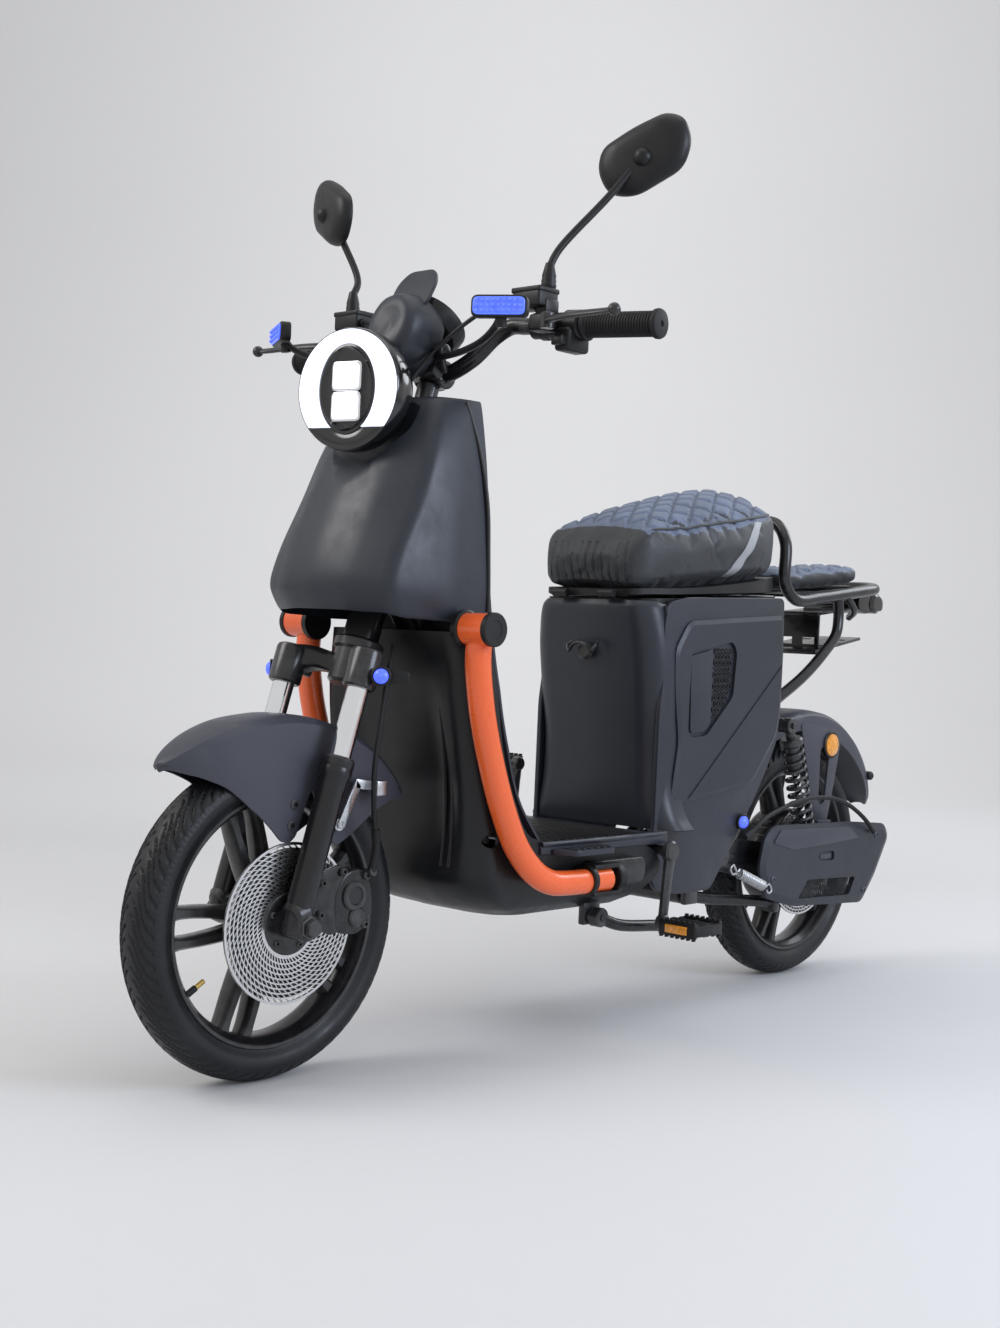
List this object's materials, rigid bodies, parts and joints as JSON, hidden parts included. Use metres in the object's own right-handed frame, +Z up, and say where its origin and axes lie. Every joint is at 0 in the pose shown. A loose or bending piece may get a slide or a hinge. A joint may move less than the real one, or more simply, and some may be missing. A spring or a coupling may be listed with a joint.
{
  "type": "moped scooter",
  "caption": "Electric step-through moped scooter with steering fork, swingarm with coil shocks, pedals, hinged seat, stands, orange guard tubes and round headlamp.",
  "frame": {"origin": "on the ground, at the centre of the bounding box seen from above, on the scooter's mid-plane", "axes": "+Z up, +Y towards the rear wheel and tail lamp, +X towards the rider's left"},
  "size_m": [0.6958, 1.6284, 1.2591],
  "materials": {
    "shell": "satin",
    "fender_grey": "satin",
    "black_plastic": "satin",
    "black_metal": "satin",
    "orange_paint": "satin",
    "chrome": "polished",
    "alloy": "satin",
    "disc_steel": "brushed",
    "tyre_rubber": "matte",
    "grip_rubber": "matte",
    "seat_vinyl": "satin",
    "lamp_white": "gloss",
    "led_blue": "gloss",
    "red_lens": "gloss"
  },
  "bodies": {
    "chassis": {"frame": "black_metal", "battery": "black_plastic", "front_cover": "shell", "headlamp_housing": "black_plastic", "headlamp_lens": "lamp_white", "lower_cowl": "black_plastic", "inner_leg_shield": "shell", "floorboard": "shell", "tower_front_panel": "shell", "side_panel_left": "shell", "side_panel_right": "shell", "rack": "black_metal", "rack_pad": "seat_vinyl", "tail_lamp": "red_lens", "plate_bracket": "black_metal", "guard_left": "orange_paint", "guard_right": "orange_paint", "shock_left": "black_metal", "shock_right": "black_metal", "rear_brake_cable": "grip_rubber"},
    "steering": {"steering_stem": "black_metal", "stanchion_left": "chrome", "stanchion_right": "chrome", "handlebar": "black_metal", "grip_left": "grip_rubber", "master_cylinder_left": "black_plastic", "master_cylinder_right": "black_plastic", "indicator_left": "led_blue", "indicator_right": "led_blue", "switch_block": "black_plastic", "instrument_pod": "shell", "front_brake_hose": "grip_rubber"},
    "fork_lower": {"fork_leg_left": "alloy", "fork_leg_right": "alloy", "front_axle": "disc_steel", "front_fender": "fender_grey", "brake_caliper": "alloy"},
    "front_wheel": {"front_tyre": "tyre_rubber", "front_wheel": "alloy", "front_brake_disc": "disc_steel"},
    "swingarm": {"swingarm": "alloy", "swingarm_cover": "shell", "rear_fender": "fender_grey", "rear_axle": "disc_steel"},
    "rear_wheel": {"rear_tyre": "tyre_rubber", "rear_wheel": "alloy", "rear_brake_disc": "disc_steel"},
    "crank": {"crankset": "black_metal"},
    "pedal_left": {"pedal_left": "black_plastic"},
    "pedal_right": {"pedal_right": "black_plastic"},
    "side_stand": {"side_stand": "black_metal"},
    "centre_stand": {"centre_stand": "black_metal"},
    "seat": {"seat_base": "black_plastic", "seat_cushion": "seat_vinyl"},
    "lever_left": {"brake_lever_left": "black_metal"},
    "lever_right": {"brake_lever_right": "black_metal"},
    "throttle": {"throttle_grip": "grip_rubber"},
    "horn_button": {"horn_button": "orange_paint"},
    "mirror_left": {"mirror_left": "black_plastic"},
    "mirror_right": {"mirror_right": "black_plastic"}
  },
  "joints": [
    {"name": "steering", "type": "hinge", "parent": "chassis", "child": "steering", "pos_m": [0, -0.47325, 0.53], "axis": [0, 0.2924, 0.9563], "range_deg": [-33, 33]},
    {"name": "fork_travel", "type": "slide", "parent": "steering", "child": "fork_lower", "axis": [0, 0.2924, 0.9563], "range_m": [-0.01, 0.035], "stiffness_N_per_m": 12000, "springref_m": -0.023},
    {"name": "front_wheel_spin", "type": "hinge", "parent": "fork_lower", "child": "front_wheel", "pos_m": [0, -0.61125, 0.203], "axis": [1, 0, 0], "continuous": true},
    {"name": "swingarm_pivot", "type": "hinge", "parent": "chassis", "child": "swingarm", "pos_m": [0, 0.24875, 0.235], "axis": [1, 0, 0], "range_deg": [-4, 12], "stiffness_Nm_per_rad": 1500, "springref_deg": -3.95, "deforming": ["shock_left", "shock_right"]},
    {"name": "rear_wheel_spin", "type": "hinge", "parent": "swingarm", "child": "rear_wheel", "pos_m": [0, 0.55175, 0.203], "axis": [1, 0, 0], "continuous": true},
    {"name": "crank_spin", "type": "hinge", "parent": "chassis", "child": "crank", "pos_m": [0, 0.01875, 0.264], "axis": [1, 0, 0], "continuous": true},
    {"name": "pedal_left_spin", "type": "hinge", "parent": "crank", "child": "pedal_left", "pos_m": [0.21, 0.00675, 0.161], "axis": [1, 0, 0], "continuous": true},
    {"name": "pedal_right_spin", "type": "hinge", "parent": "crank", "child": "pedal_right", "pos_m": [-0.21, 0.03075, 0.367], "axis": [1, 0, 0], "continuous": true},
    {"name": "side_stand_swing", "type": "hinge", "parent": "chassis", "child": "side_stand", "pos_m": [0.118, -0.09125, 0.172], "axis": [-1, 0, 0], "range_deg": [0, 80]},
    {"name": "centre_stand_swing", "type": "hinge", "parent": "chassis", "child": "centre_stand", "pos_m": [0, 0.18875, 0.172], "axis": [-1, 0, 0], "range_deg": [0, 75]},
    {"name": "seat_lift", "type": "hinge", "parent": "chassis", "child": "seat", "pos_m": [0, -0.01525, 0.64], "axis": [1, 0, 0], "range_deg": [0, 75]},
    {"name": "lever_left_squeeze", "type": "hinge", "parent": "steering", "child": "lever_left", "pos_m": [0.21, -0.35925, 0.973], "axis": [0, 0, 1], "range_deg": [0, 16], "stiffness_Nm_per_rad": 1.5, "springref_deg": -11.46},
    {"name": "lever_right_squeeze", "type": "hinge", "parent": "steering", "child": "lever_right", "pos_m": [-0.21, -0.35925, 0.973], "axis": [0, 0, -1], "range_deg": [0, 16], "stiffness_Nm_per_rad": 1.5, "springref_deg": -11.46},
    {"name": "throttle_twist", "type": "hinge", "parent": "steering", "child": "throttle", "pos_m": [-0.28, -0.30305, 0.971], "axis": [-0.9878, 0.1495, -0.043], "range_deg": [0, 60], "stiffness_Nm_per_rad": 0.3, "springref_deg": -17.19},
    {"name": "horn_press", "type": "slide", "parent": "steering", "child": "horn_button", "axis": [0, -1, 0], "range_m": [0, 0.003], "stiffness_N_per_m": 400, "springref_m": -0.002},
    {"name": "mirror_left_turn", "type": "hinge", "parent": "steering", "child": "mirror_left", "pos_m": [0.187, -0.33425, 1.03], "axis": [0, 0, 1], "range_deg": [-25, 25]},
    {"name": "mirror_right_turn", "type": "hinge", "parent": "steering", "child": "mirror_right", "pos_m": [-0.187, -0.33425, 1.03], "axis": [0, 0, 1], "range_deg": [-25, 25]}
  ]
}
